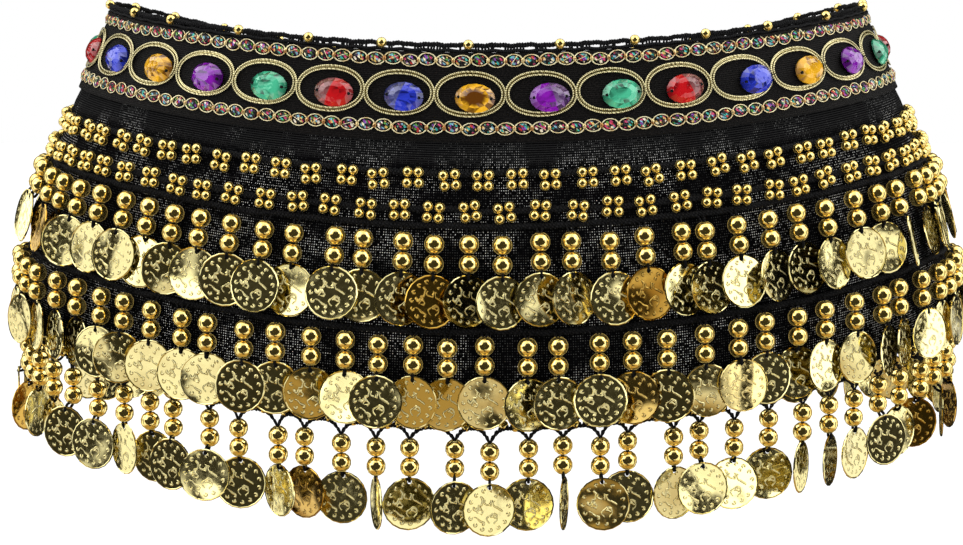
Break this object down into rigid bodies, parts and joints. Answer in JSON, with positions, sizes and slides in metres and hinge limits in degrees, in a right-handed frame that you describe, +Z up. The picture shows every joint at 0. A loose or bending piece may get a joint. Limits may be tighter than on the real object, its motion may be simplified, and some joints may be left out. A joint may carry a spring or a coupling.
{
  "type": "belly dance hip scarf",
  "caption": "Black net hip scarf closed round the hips, with a jewelled ribbon at its top edge and rows of gold beads and coins that jingle.",
  "frame": {"origin": "middle of the wearer's hips at the height of the ribbon, inside the ring", "axes": "+Z up, front of the scarf towards -Y, wearer's left towards +X"},
  "size_m": [0.4195, 0.2875, 0.2071],
  "materials": {
    "black_net": "matte open net",
    "black_ribbon": "fine ribbed velvet ribbon",
    "gold_metal": "polished gold colour",
    "red_stone": "faceted clear acrylic, foil backed",
    "blue_stone": "faceted clear acrylic, foil backed",
    "amber_stone": "faceted clear acrylic, foil backed",
    "purple_stone": "faceted clear acrylic, foil backed",
    "green_stone": "faceted clear acrylic, foil backed"
  },
  "bodies": {
    "root": {"net_strip": "black_net", "jewel_ribbon": "black_ribbon", "coin_row_upper": "gold_metal", "coin_row_middle": "gold_metal", "coin_row_hem": "gold_metal", "stone_01_amber": "amber_stone", "stone_02_purple": "purple_stone", "stone_03_green": "green_stone", "stone_04_red": "red_stone", "stone_05_blue": "blue_stone", "stone_06_amber": "amber_stone", "stone_07_purple": "purple_stone", "stone_08_green": "green_stone", "stone_09_red": "red_stone", "stone_10_blue": "blue_stone", "stone_11_amber": "amber_stone", "stone_12_purple": "purple_stone", "stone_13_green": "green_stone", "stone_14_red": "red_stone", "stone_15_blue": "blue_stone", "stone_16_amber": "amber_stone", "stone_17_purple": "purple_stone", "stone_18_green": "green_stone", "stone_19_red": "red_stone", "stone_20_blue": "blue_stone", "stone_21_amber": "amber_stone", "stone_22_purple": "purple_stone", "stone_23_green": "green_stone", "stone_24_red": "red_stone", "stone_25_blue": "blue_stone", "stone_26_amber": "amber_stone", "stone_27_purple": "purple_stone", "stone_28_green": "green_stone", "stone_29_red": "red_stone", "stone_30_blue": "blue_stone", "stone_31_amber": "amber_stone"}
  },
  "joints": []
}
